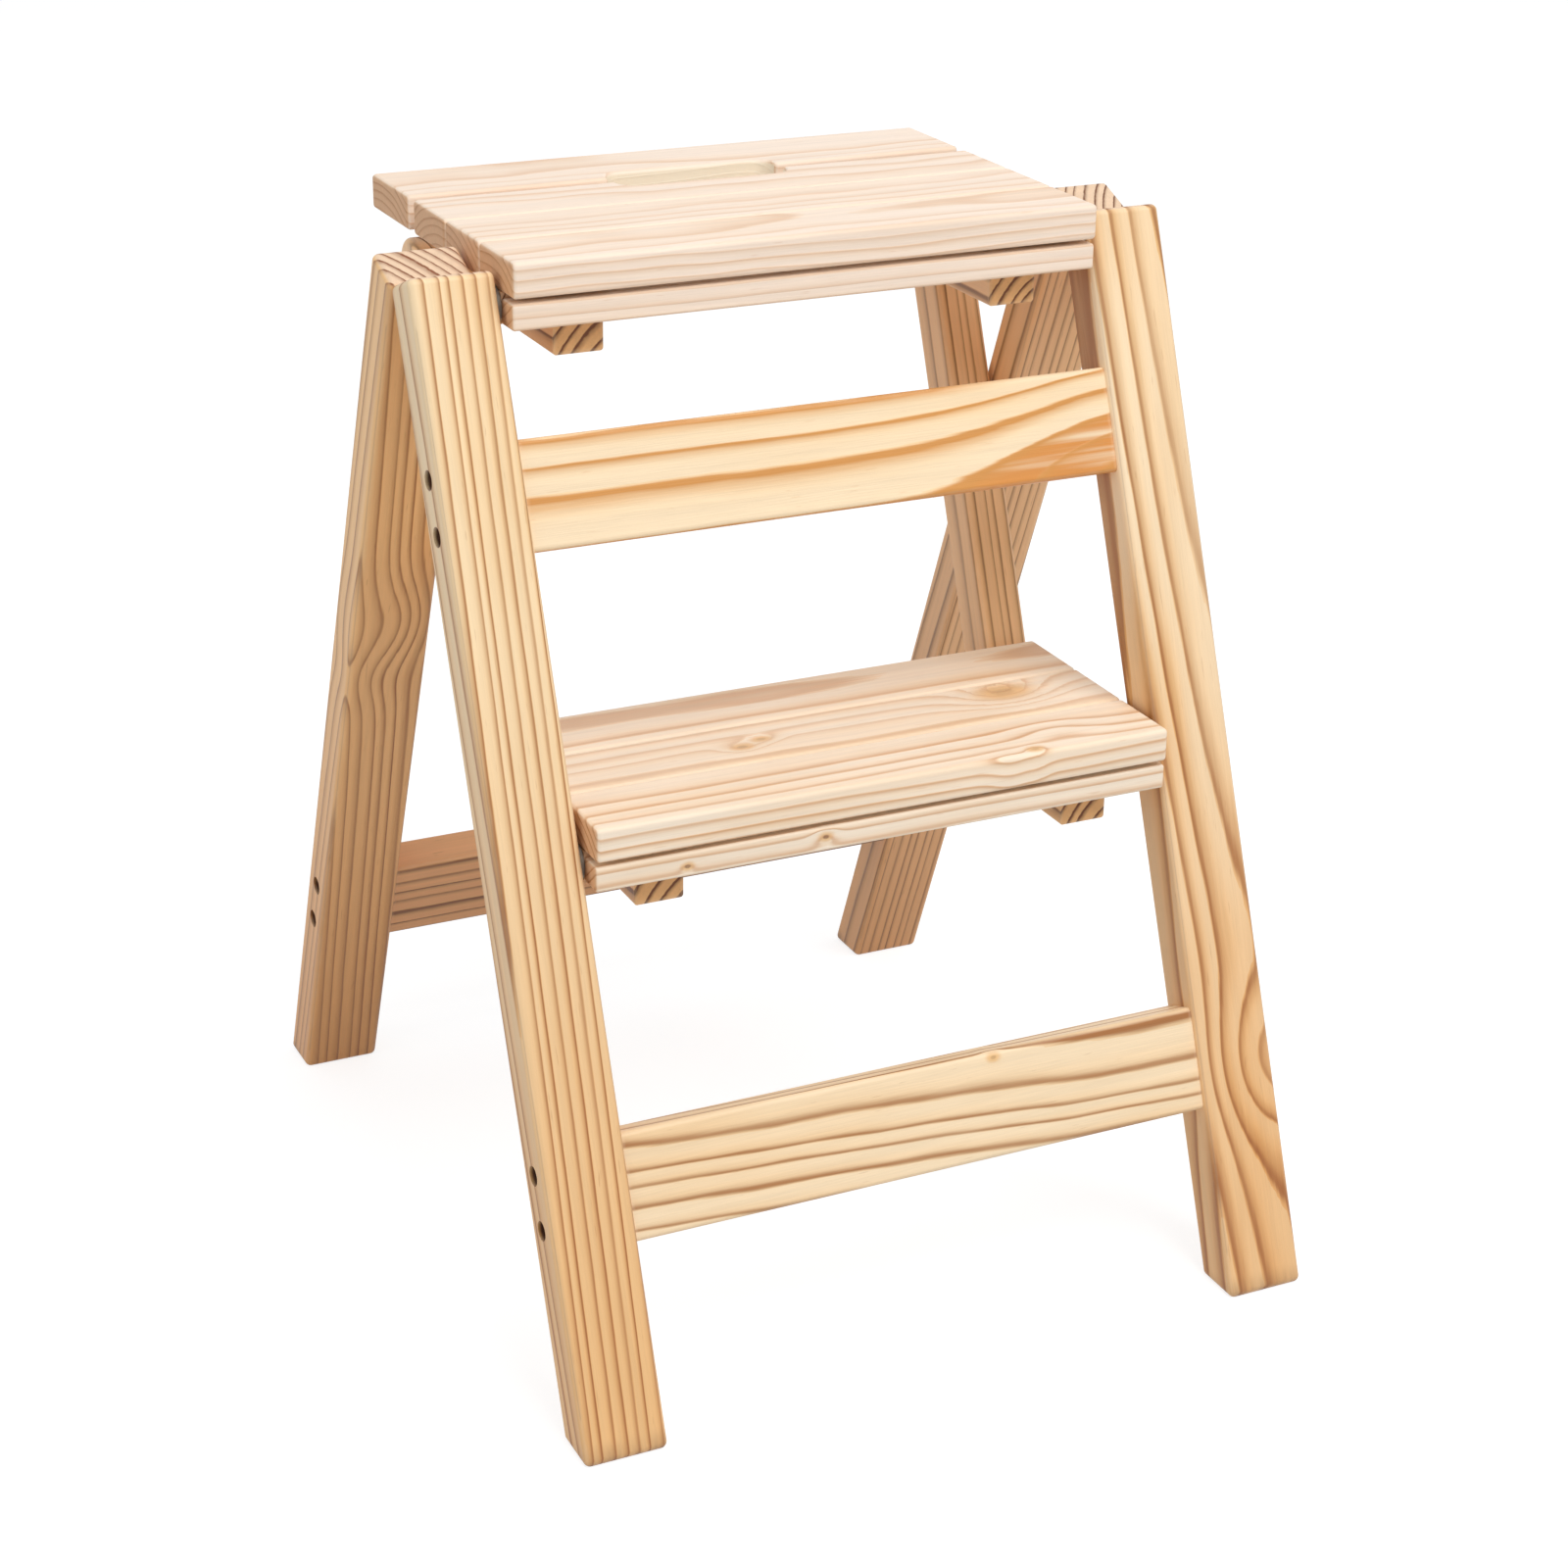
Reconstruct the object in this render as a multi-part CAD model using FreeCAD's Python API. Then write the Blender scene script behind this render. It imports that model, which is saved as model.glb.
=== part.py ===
import FreeCAD, Part
import math
import os
from FreeCAD import Vector

# Folding two-tier step stool in solid pine, standing open.
# X runs to the right seen from the front, Y to the rear, Z up, in millimetres.
# The origin is on the floor, midway between the front toes and the rear heels.

# Overall sizes
overall_width = 377.0
seat_height = 500.0
step_height = 268.5

# Legs
leg_width = 40.0
leg_thickness = 26.0
leg_round = 3.2
front_lean = math.radians(21.0)
rear_lean = math.radians(22.0)
front_leg_drop = 6.0
rear_leg_drop = 5.4
leg_top_gap = 0.5

# Rails between the legs
rail_width = 50.0
rail_thickness = 20.0
rail_round = 2.5
upper_rail_drop = 99.1
lower_rail_centre = 120.0
rear_rail_centre = 129.0
rail_screw_spacing = 25.0

# Seat and step: boards on two cleats, with an apron below the front edge
platform_leg_gap = 2.5
board_thickness = 16.5
board_width = 43.0
board_seam = 0.8
board_round = 2.2
rear_slat_width = 52.0
rear_slat_gap = 8.0
apron_seam = 2.4
apron_height = 12.0
apron_depth = 14.0
apron_setback = 1.5
apron_round = 1.5
cleat_width = 24.0
cleat_height = 31.0
cleat_round = 1.5
seat_cleat_overhang = 10.0
step_cleat_reach = 12.0
block_depth = 38.0
block_round = 1.2

# Hand slot between the two rear slats
slot_length = 88.0
slot_width = 30.0
slot_corner = 9.0
slot_rim_round = 2.0

# Fold linkage: the arm runs from the front pivot to the strut pivot
pivot_setback = 22.8
arm_reach = 116.2
arm_drop = 9.5
strut_width = 23.4
strut_thickness = 26.0
strut_gap = 0.6
strut_round = 2.5

# Hardware
bolt_diameter = 8.0
bolt_clearance = 0.08
open_pivot_clearance = 0.35
bolt_head_diameter = 13.0
bolt_head_height = 4.5
bolt_grip = 25.0
strut_bolt_grip = 17.0
bolt_recess_clearance = 0.6
washer_diameter = 18.0
washer_slack = 0.3
hex_socket = 5.0
hex_depth = 2.5
screw_diameter = 4.2
screw_clearance = 0.06
screw_head_diameter = 8.2
screw_head_height = 3.0
screw_well_diameter = 9.4
rail_screw_well = 11.0
rail_screw_grip = 32.0
cleat_screw_well = 18.0
cleat_screw_grip = 9.0
front_board_screw_back = 35.0
drive_slot_width = 1.4
drive_slot_depth = 1.2
blind_gap = 1.0

# Places worked out from the sizes above
half_width = overall_width / 2
leg_inner = half_width - leg_width
platform_end = leg_inner - platform_leg_gap
strut_inner = platform_end - strut_width
cleat_outer = strut_inner - strut_gap
cleat_inner = cleat_outer - cleat_width
front_leg_length = (seat_height - front_leg_drop) / math.cos(front_lean)
rear_leg_length = (seat_height - rear_leg_drop) / math.cos(rear_lean)
upper_rail_centre = front_leg_length - upper_rail_drop
block_height = apron_seam + apron_height
pivot_drop = board_thickness + block_height / 2
past = 1.0  # how far a cutting shape runs beyond the face it cuts
X_AXIS = Vector(1, 0, 0)
Y_AXIS = Vector(0, 1, 0)
Z_AXIS = Vector(0, 0, 1)


def front_point(along, depth):
    """Y and Z of a point on a front leg: along it from the floor, and back from its front face."""
    return (along * math.sin(front_lean) + depth * math.cos(front_lean),
            along * math.cos(front_lean) - depth * math.sin(front_lean))


# The rear legs' front faces just miss the top rear corners of the front legs.
front_top_y, front_top_z = front_point(front_leg_length, leg_thickness)
heel_y = (front_top_y + leg_top_gap + front_top_z * math.tan(rear_lean)
          + leg_thickness / math.cos(rear_lean))
middle_y = heel_y / 2


def rear_point(along, depth):
    """Y and Z of a point on a rear leg: along it from the floor, and forward from its rear face."""
    return (heel_y - along * math.sin(rear_lean) - depth * math.cos(rear_lean),
            along * math.cos(rear_lean) - depth * math.sin(rear_lean))


def on_front_centre(height):
    """The point of the front legs' centre line at a height."""
    depth = leg_thickness / 2
    return front_point((height + depth * math.sin(front_lean)) / math.cos(front_lean), depth)


seat_pivot = on_front_centre(seat_height - pivot_drop)
step_pivot = on_front_centre(step_height - pivot_drop)
strut_top = (seat_pivot[0] + arm_reach, seat_pivot[1] - arm_drop)
strut_foot = (step_pivot[0] + arm_reach, step_pivot[1] - arm_drop)


def crossing():
    """Where the strut's centre line meets the rear leg's centre line."""
    foot_y, foot_z = rear_point(0, leg_thickness / 2)
    across = foot_y - strut_foot[0] - (strut_foot[1] - foot_z) * math.tan(rear_lean)
    rise = across / (math.tan(front_lean) + math.tan(rear_lean))
    return (strut_foot[0] + rise * math.tan(front_lean), strut_foot[1] + rise)


rear_pivot = crossing()


def side_prism(outline, x_from, x_to):
    """A prism along X over an outline of (y, z) corners."""
    points = [Vector(x_from, y, z) for y, z in outline]
    face = Part.Face(Part.makePolygon(points + points[:1]))
    return face.extrude(Vector(x_to - x_from, 0, 0))


def box(x_from, x_to, y_from, y_to, z_from, z_to):
    """A block between two corners."""
    return Part.makeBox(x_to - x_from, y_to - y_from, z_to - z_from, Vector(x_from, y_from, z_from))


def rod(x_from, x_to, place, diameter):
    """A round bar along X through a (y, z) place."""
    return Part.makeCylinder(diameter / 2, x_to - x_from, Vector(x_from, place[0], place[1]), X_AXIS)


def eased(shape, radius):
    """The shape with every edge rounded."""
    return shape.makeFillet(radius, shape.Edges)


def long_edges(shape, axis):
    """The straight edges that run along one axis."""
    found = []
    for edge in shape.Edges:
        direction = edge.Vertexes[-1].Point - edge.Vertexes[0].Point
        if direction.Length > 0 and abs(direction.normalize().dot(axis)) > 0.999:
            found.append(edge)
    return found


def mirrored(shape):
    """The same piece on the other side of the stool."""
    return shape.mirror(Vector(0, 0, 0), X_AXIS)


def both_sides(shapes):
    """Right-hand solids and their left-hand twins as one group."""
    return Part.Compound([s for shape in shapes for s in (shape, mirrored(shape))])


def leg(point, length, lean):
    """One leg: floor cut at the foot, square cut at the top, every edge rounded."""
    foot_rise = leg_thickness * math.tan(lean)
    outline = [point(0, 0), point(length, 0), point(length, leg_thickness), point(foot_rise, leg_thickness)]
    return eased(side_prism(outline, leg_inner, half_width), leg_round)


def rail(point, centre):
    """A rail between two legs, set midway in their thickness."""
    low, high = centre - rail_width / 2, centre + rail_width / 2
    near = (leg_thickness - rail_thickness) / 2
    far = near + rail_thickness
    bar = side_prism([point(low, near), point(high, near), point(high, far), point(low, far)],
                     -leg_inner, leg_inner)
    return bar.makeFillet(rail_round, long_edges(bar, X_AXIS))


def rail_screw_places(point, centre):
    """The two screw positions at each end of a rail."""
    middle = leg_thickness / 2
    return [point(centre + side * rail_screw_spacing / 2, middle) for side in (-1, 1)]


def rail_screw(place):
    """A wood screw driven through a leg into the end of a rail, on the right-hand side."""
    seat_x = half_width - rail_screw_well
    head = rod(seat_x - screw_head_height, seat_x, place, screw_head_diameter)
    slot = box(seat_x - drive_slot_depth, seat_x + past, place[0] - drive_slot_width / 2,
               place[0] + drive_slot_width / 2, place[1] - screw_head_diameter,
               place[1] + screw_head_diameter)
    shank = rod(leg_inner - rail_screw_grip, seat_x - screw_head_height, place, screw_diameter)
    return head.cut(slot).fuse(shank)


def rail_screw_room(place):
    """The well for the head and the bore for the shank of a rail screw."""
    seat_x = half_width - rail_screw_well
    well = rod(seat_x - screw_head_height, half_width + past, place, screw_well_diameter)
    bore = rod(leg_inner - rail_screw_grip - blind_gap, seat_x, place,
               screw_diameter + 2 * screw_clearance)
    return well.fuse(bore)


def pivot_bolt(place, head_x, tip_x):
    """A bolt along X with its socket head at head_x and its tip at tip_x, further out."""
    head = rod(head_x - bolt_head_height, head_x, place, bolt_head_diameter)
    corners = []
    for k in range(6):
        turn = math.radians(60 * k)
        corners.append((place[0] + hex_socket / math.sqrt(3) * math.cos(turn),
                        place[1] + hex_socket / math.sqrt(3) * math.sin(turn)))
    head_face = head_x - bolt_head_height
    socket = side_prism(corners, head_face - past, head_face + hex_depth)
    return head.cut(socket).fuse(rod(head_x, tip_x, place, bolt_diameter))


def bolt_bore(place, x_from, x_to, clearance):
    """The hole that a pivot bolt turns or seats in."""
    return rod(x_from, x_to, place, bolt_diameter + 2 * clearance)


def side_washer(place):
    """The washer that keeps a moving side clear of a leg."""
    ring = rod(platform_end + washer_slack, leg_inner, place, washer_diameter)
    return ring.cut(bolt_bore(place, platform_end, leg_inner + past, bolt_clearance))


def front_leg_right():
    shape = leg(front_point, front_leg_length, front_lean)
    for centre in (upper_rail_centre, lower_rail_centre):
        for place in rail_screw_places(front_point, centre):
            shape = shape.cut(rail_screw_room(place))
    for place in (seat_pivot, step_pivot):
        shape = shape.cut(bolt_bore(place, leg_inner - past, leg_inner + bolt_grip + blind_gap,
                                    bolt_clearance))
    return shape


def rear_leg_right():
    shape = leg(rear_point, rear_leg_length, rear_lean)
    for place in rail_screw_places(rear_point, rear_rail_centre):
        shape = shape.cut(rail_screw_room(place))
    return shape.cut(bolt_bore(rear_pivot, leg_inner - past, leg_inner + bolt_grip + blind_gap,
                               bolt_clearance))


def drilled_rail(point, centre):
    """A rail with a pilot bore for each of its four screws."""
    shape = rail(point, centre)
    for place in rail_screw_places(point, centre):
        room = rail_screw_room(place)
        shape = shape.cut(room).cut(mirrored(room))
    return shape


def rail_screws(point, centres):
    """All the screws that hold a set of rails."""
    return both_sides([rail_screw(place) for centre in centres
                       for place in rail_screw_places(point, centre)])


def board(front_y, width, top_z):
    """One plain board of a seat or step."""
    return eased(box(-platform_end, platform_end, front_y, front_y + width,
                     top_z - board_thickness, top_z), board_round)


def slotted_board(front_y, width, top_z, slot_at_rear):
    """A board with half of the hand slot taken out of one long edge."""
    depth = (slot_width - rear_slat_gap) / 2
    half = slot_length / 2
    edge_y, side = (front_y + width, -1) if slot_at_rear else (front_y, 1)
    far_y = front_y if slot_at_rear else front_y + width
    bottom = top_z - board_thickness
    mouth = edge_y
    floor = edge_y + side * depth
    corners = [(-platform_end, far_y), (platform_end, far_y), (platform_end, mouth), (half, mouth),
               (half, floor), (-half, floor), (-half, mouth), (-platform_end, mouth)]
    points = [Vector(x, y, bottom) for x, y in corners]
    plank = Part.Face(Part.makePolygon(points + points[:1])).extrude(Vector(0, 0, board_thickness))
    inner = [e for e in long_edges(plank, Z_AXIS) if abs(e.Vertexes[0].X) < platform_end - 1
             and abs(e.Vertexes[0].Y - floor) < 0.01]
    plank = plank.makeFillet(slot_corner, inner)
    outer = [e for e in long_edges(plank, Z_AXIS) if abs(e.Vertexes[0].Y - floor) > slot_corner + 0.5
             or abs(e.Vertexes[0].X) > platform_end - 1]
    plank = plank.makeFillet(board_round, outer)
    rims = [e for e in plank.Edges if abs(e.BoundBox.ZMax - e.BoundBox.ZMin) < 0.01]
    return plank.makeFillet(slot_rim_round, rims)


def platform_front(pivot):
    """The Y of a platform's front edge."""
    return pivot[0] - pivot_setback


def platform_top(pivot):
    """The height of a platform's top face."""
    return pivot[1] + pivot_drop


def board_front(pivot, index):
    """The Y where a board of a platform starts, counted from the front."""
    return platform_front(pivot) + index * (board_width + board_seam)


def board_screw_places(pivot, board_count):
    """The Y of each screw that holds a board to a cleat, the front one kept off the pivot bolt."""
    places = [platform_front(pivot) + front_board_screw_back]
    for index in range(1, board_count):
        places.append(board_front(pivot, index) + board_width / 2)
    return places


def board_screw(pivot, x, y):
    """A screw driven up through a cleat into a board."""
    low = platform_top(pivot) - board_thickness - cleat_height + cleat_screw_well
    top = platform_top(pivot) - board_thickness + cleat_screw_grip
    head = Part.makeCylinder(screw_head_diameter / 2, screw_head_height, Vector(x, y, low), Z_AXIS)
    slot = box(x - drive_slot_width / 2, x + drive_slot_width / 2, y - screw_head_diameter,
               y + screw_head_diameter, low - past, low + drive_slot_depth)
    shank = Part.makeCylinder(screw_diameter / 2, top - low, Vector(x, y, low), Z_AXIS)
    return head.fuse(shank).cut(slot)


def board_screw_room(pivot, x, y):
    """The well and bore of a board screw."""
    bottom = platform_top(pivot) - board_thickness - cleat_height
    low = bottom + cleat_screw_well
    top = platform_top(pivot) - board_thickness + cleat_screw_grip + blind_gap
    well = Part.makeCylinder(screw_well_diameter / 2, cleat_screw_well + screw_head_height + past,
                             Vector(x, y, bottom - past), Z_AXIS)
    bore = Part.makeCylinder(screw_diameter / 2 + screw_clearance, top - low, Vector(x, y, low), Z_AXIS)
    return well.fuse(bore)


def all_board_screws(pivot, y_places):
    """The screws of one platform, in pairs."""
    x = (cleat_inner + cleat_outer) / 2
    return both_sides([board_screw(pivot, x, y) for y in y_places])


def drilled_board(shape, pivot, y):
    """A board with the two blind bores of its screws."""
    x = (cleat_inner + cleat_outer) / 2
    for side in (-1, 1):
        shape = shape.cut(board_screw_room(pivot, side * x, y))
    return shape


def apron(pivot):
    """The strip across the cleats' front ends, a shadow line below the front board."""
    front = platform_front(pivot) + apron_setback
    top = platform_top(pivot) - board_thickness - apron_seam
    return eased(box(-platform_end, platform_end, front, front + apron_depth, top - apron_height, top),
                 apron_round)


def cleat_right(pivot, rear_y, strut_place, strut_clearance, y_places):
    """A bearer under a platform, bored for the front pivot, the strut pivot and the screws."""
    front = platform_front(pivot) + apron_setback + apron_depth
    top = platform_top(pivot) - board_thickness
    shape = box(cleat_inner, cleat_outer, front, rear_y, top - cleat_height, top)
    shape = shape.makeFillet(cleat_round, long_edges(shape, Y_AXIS))
    shape = shape.cut(bolt_bore(pivot, cleat_inner - past, cleat_outer + past, bolt_clearance))
    shape = shape.cut(bolt_bore(strut_place, cleat_inner - past, cleat_outer + past, strut_clearance))
    x = (cleat_inner + cleat_outer) / 2
    for y in y_places:
        shape = shape.cut(board_screw_room(pivot, x, y))
    return shape


def pivot_block_right(pivot):
    """The spacer block between a cleat and a leg that the front pivot bolt passes through."""
    front = platform_front(pivot) + apron_setback + apron_depth
    top = platform_top(pivot) - board_thickness
    shape = box(cleat_outer, platform_end, front, front + block_depth, top - block_height, top)
    shape = shape.makeFillet(block_round, long_edges(shape, X_AXIS))
    return shape.cut(bolt_bore(pivot, cleat_outer - past, platform_end + past, bolt_clearance))


def strut_right():
    """The link between seat and step: a bar with round ends, bored for three bolts."""
    radius = strut_thickness / 2
    across = Vector(0, radius * math.cos(front_lean), -radius * math.sin(front_lean))
    upward = Vector(0, radius * math.sin(front_lean), radius * math.cos(front_lean))
    top = Vector(strut_inner, *strut_top)
    foot = Vector(strut_inner, *strut_foot)
    wire = Part.Wire([Part.LineSegment(foot - across, top - across).toShape(),
                      Part.Arc(top - across, top + upward, top + across).toShape(),
                      Part.LineSegment(top + across, foot + across).toShape(),
                      Part.Arc(foot + across, foot - upward, foot - across).toShape()])
    bar = Part.Face(wire).extrude(Vector(platform_end - strut_inner, 0, 0))
    shape = eased(bar, strut_round)
    for place in (strut_top, strut_foot):
        shape = shape.cut(bolt_bore(place, strut_inner - past,
                                    strut_inner + strut_bolt_grip + blind_gap, bolt_clearance))
    recess = rod(strut_inner - past, strut_inner + bolt_head_height + washer_slack, rear_pivot,
                 bolt_head_diameter + 2 * bolt_recess_clearance)
    return shape.cut(recess).cut(bolt_bore(rear_pivot, strut_inner, platform_end + past, bolt_clearance))


def front_frame_pieces():
    right_leg = front_leg_right()
    centres = (upper_rail_centre, lower_rail_centre)
    bolts = {}
    for name, place in (("seat", seat_pivot), ("step", step_pivot)):
        bolts[name + "_pivot_bolts"] = both_sides([pivot_bolt(place, cleat_inner - washer_slack,
                                                              leg_inner + bolt_grip)])
        bolts[name + "_pivot_washers"] = both_sides([side_washer(place)])
    return {"front_leg_right": right_leg,
            "front_leg_left": mirrored(right_leg),
            "front_upper_rail": drilled_rail(front_point, upper_rail_centre),
            "front_lower_rail": drilled_rail(front_point, lower_rail_centre),
            "front_rail_screws": rail_screws(front_point, centres),
            **bolts}


def seat_pieces():
    top = platform_top(seat_pivot)
    screw_places = board_screw_places(seat_pivot, 3)
    rear_slat_y = board_front(seat_pivot, 2) + board_width + rear_slat_gap
    rear_edge = rear_slat_y + rear_slat_width
    screw_places.append(rear_slat_y + rear_slat_width / 2)
    slats = [board(board_front(seat_pivot, 0), board_width, top),
             board(board_front(seat_pivot, 1), board_width, top),
             slotted_board(board_front(seat_pivot, 2), board_width, top, True),
             slotted_board(rear_slat_y, rear_slat_width, top, False)]
    pieces = {}
    for index, (slat, y) in enumerate(zip(slats, screw_places)):
        pieces["seat_slat_%d" % (index + 1)] = drilled_board(slat, seat_pivot, y)
    cleat = cleat_right(seat_pivot, rear_edge - seat_cleat_overhang, strut_top, bolt_clearance,
                        screw_places)
    block = pivot_block_right(seat_pivot)
    pieces.update({"seat_apron": apron(seat_pivot),
                   "seat_cleat_right": cleat,
                   "seat_cleat_left": mirrored(cleat),
                   "seat_pivot_block_right": block,
                   "seat_pivot_block_left": mirrored(block),
                   "seat_slat_screws": all_board_screws(seat_pivot, screw_places)})
    return pieces


def step_pieces():
    top = platform_top(step_pivot)
    screw_places = board_screw_places(step_pivot, 3)
    pieces = {}
    for index, y in enumerate(screw_places):
        plank = board(board_front(step_pivot, index), board_width, top)
        pieces["step_board_%d" % (index + 1)] = drilled_board(plank, step_pivot, y)
    cleat = cleat_right(step_pivot, strut_foot[0] + step_cleat_reach, strut_foot,
                        open_pivot_clearance, screw_places)
    block = pivot_block_right(step_pivot)
    pieces.update({"step_apron": apron(step_pivot),
                   "step_cleat_right": cleat,
                   "step_cleat_left": mirrored(cleat),
                   "step_pivot_block_right": block,
                   "step_pivot_block_left": mirrored(block),
                   "step_board_screws": all_board_screws(step_pivot, screw_places)})
    return pieces


def strut_pieces():
    right = strut_right()
    tip = strut_inner + strut_bolt_grip
    head = cleat_inner - washer_slack
    return {"strut_right": right,
            "strut_left": mirrored(right),
            "strut_top_bolts": both_sides([pivot_bolt(strut_top, head, tip)]),
            "strut_foot_bolts": both_sides([pivot_bolt(strut_foot, head, tip)])}


def rear_frame_pieces():
    right_leg = rear_leg_right()
    bolt = pivot_bolt(rear_pivot, strut_inner + bolt_head_height, leg_inner + bolt_grip)
    return {"rear_leg_right": right_leg,
            "rear_leg_left": mirrored(right_leg),
            "rear_rail": drilled_rail(rear_point, rear_rail_centre),
            "rear_rail_screws": rail_screws(rear_point, (rear_rail_centre,)),
            "rear_pivot_bolts": both_sides([bolt]),
            "rear_pivot_washers": both_sides([side_washer(rear_pivot)])}


def main():
    os.makedirs("parts", exist_ok=True)
    pieces = {}
    for group in (front_frame_pieces, seat_pieces, step_pieces, strut_pieces, rear_frame_pieces):
        pieces.update(group())
    for name, shape in pieces.items():
        shape.translate(Vector(0, -middle_y, 0))
        shape.exportStep("parts/%s.step" % name)
    for name, place in (("seat", seat_pivot), ("step", step_pivot), ("strut top", strut_top),
                        ("strut foot", strut_foot), ("rear", rear_pivot)):
        print("%s pivot at y %.3f, z %.3f" % (name, place[0] - middle_y, place[1]))
    print("%d nodes, depth over the feet %.1f" % (len(pieces), heel_y))


main()
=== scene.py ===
import math

import bmesh
import bpy
from mathutils import Matrix, Vector


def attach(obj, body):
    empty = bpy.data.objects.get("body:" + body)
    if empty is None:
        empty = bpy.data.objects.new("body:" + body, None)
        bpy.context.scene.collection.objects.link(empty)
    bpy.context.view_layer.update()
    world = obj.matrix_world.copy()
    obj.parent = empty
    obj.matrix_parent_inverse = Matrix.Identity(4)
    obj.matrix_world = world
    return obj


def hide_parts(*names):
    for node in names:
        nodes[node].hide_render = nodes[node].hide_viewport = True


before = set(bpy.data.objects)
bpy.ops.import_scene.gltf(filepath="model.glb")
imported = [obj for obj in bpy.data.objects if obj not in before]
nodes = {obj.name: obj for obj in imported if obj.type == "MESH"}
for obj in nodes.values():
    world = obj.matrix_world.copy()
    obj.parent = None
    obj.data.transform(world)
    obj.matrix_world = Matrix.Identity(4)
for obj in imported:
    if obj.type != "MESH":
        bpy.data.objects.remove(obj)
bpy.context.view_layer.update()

# Camera
PHOTO_SIDE = 1600
FOCAL_PIXELS = 3231.8
SENSOR_MM = 36.0
CAMERA_PLACE = Vector((-0.6174, -1.3060, 0.8363))
CAMERA_YAW = math.radians(25.61)
CAMERA_DIP = math.radians(23.35)
CAMERA_ROLL = math.radians(0.76)

# Lean of the legs from upright
FRONT_LEAN = math.radians(21.0)
REAR_LEAN = math.radians(22.0)


def tint(red, green, blue):
    """A colour given as it looks on a screen, 0 to 255, as the shader's own numbers."""
    linear = []
    for part in (red, green, blue):
        share = part / 255
        linear.append(share / 12.92 if share <= 0.04045 else ((share + 0.055) / 1.055) ** 2.4)
    return (*linear, 1.0)


class Bench:
    """Lays out the nodes of one tree and joins them."""

    def __init__(self, tree):
        self.tree = tree

    def node(self, kind, **settings):
        made = self.tree.nodes.new(kind)
        for name, value in settings.items():
            setattr(made, name, value)
        made.location = (190 * (len(self.tree.nodes) % 12), -220 * (len(self.tree.nodes) // 12))
        return made

    def feed(self, socket, value):
        if isinstance(value, bpy.types.NodeSocket):
            self.tree.links.new(value, socket)
        elif value is not None:
            socket.default_value = value

    def filled(self, made, values):
        for socket, value in zip(made.inputs, values):
            self.feed(socket, value)
        return made

    def maths(self, operation, *values, clamp=False):
        made = self.node("ShaderNodeMath", operation=operation, use_clamp=clamp)
        return self.filled(made, values).outputs[0]

    def vector(self, operation, *values):
        made = self.filled(self.node("ShaderNodeVectorMath", operation=operation), values)
        single = operation in ("LENGTH", "DOT_PRODUCT", "DISTANCE")
        return made.outputs["Value" if single else "Vector"]

    def split(self, value):
        return self.filled(self.node("ShaderNodeSeparateXYZ"), (value,)).outputs

    def joined(self, x, y, z):
        return self.filled(self.node("ShaderNodeCombineXYZ"), (x, y, z)).outputs[0]

    def rise(self, value, low, high):
        """0 below low and 1 above high, with a smooth rise between."""
        made = self.node("ShaderNodeMapRange", interpolation_type="SMOOTHSTEP")
        return self.filled(made, (value, low, high, 0.0, 1.0)).outputs[0]

    def between(self, factor, first, second):
        """A value between two values."""
        made = self.node("ShaderNodeMix", data_type="FLOAT")
        for index, value in ((0, factor), (2, first), (3, second)):
            self.feed(made.inputs[index], value)
        return made.outputs[0]

    def colour(self, factor, first, second, blend="MIX"):
        """A colour between two colours."""
        made = self.node("ShaderNodeMix", data_type="RGBA", blend_type=blend)
        for index, value in ((0, factor), (6, first), (7, second)):
            self.feed(made.inputs[index], value)
        return made.outputs[2]

    def noise(self, place, scale, detail=2.0, rough=0.5):
        made = self.node("ShaderNodeTexNoise", noise_dimensions="3D")
        self.feed(made.inputs["Vector"], place)
        self.feed(made.inputs["Scale"], scale)
        made.inputs["Detail"].default_value = detail
        made.inputs["Roughness"].default_value = rough
        return made

    def group(self, tree, **values):
        """Places a node group; names use _ for the spaces of its sockets."""
        made = self.node("ShaderNodeGroup", node_tree=tree)
        for name, value in values.items():
            self.feed(made.inputs[name.replace("_", " ")], value)
        return made.outputs


KINDS = {"v": "NodeSocketVector", "f": "NodeSocketFloat", "c": "NodeSocketColor"}


def new_group(name, inputs, outputs):
    """A shader node group with named sockets, its bench and its two end nodes."""
    tree = bpy.data.node_groups.new(name, "ShaderNodeTree")
    for label, kind in inputs:
        tree.interface.new_socket(label, in_out="INPUT", socket_type=KINDS[kind])
    for label, kind in outputs:
        tree.interface.new_socket(label, in_out="OUTPUT", socket_type=KINDS[kind])
    bench = Bench(tree)
    return tree, bench, bench.node("NodeGroupInput").outputs, bench.node("NodeGroupOutput").inputs


# Shape of one year's ring, as shares of its width
RAMP_END = 0.93      # late wood starts its share before this
RAMP_FULL = 0.86
CORE_START, CORE_FULL = 0.72, 0.88
CORE_SHARE = 0.45
YEAR_FALL = 0.90     # from here to 1 the late wood gives way to the next year's pale wood
AMBER_START, AMBER_FULL = 0.20, 0.88
# How uneven the rings are
CROSS_WANDER = 16.0  # turns of the wander per metre across the grain
YEAR_UNEVENNESS = 1.1
EDGE_RAGGEDNESS = 0.13
RAGGED_SCALE = (26.0, 420.0, 420.0)


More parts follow.
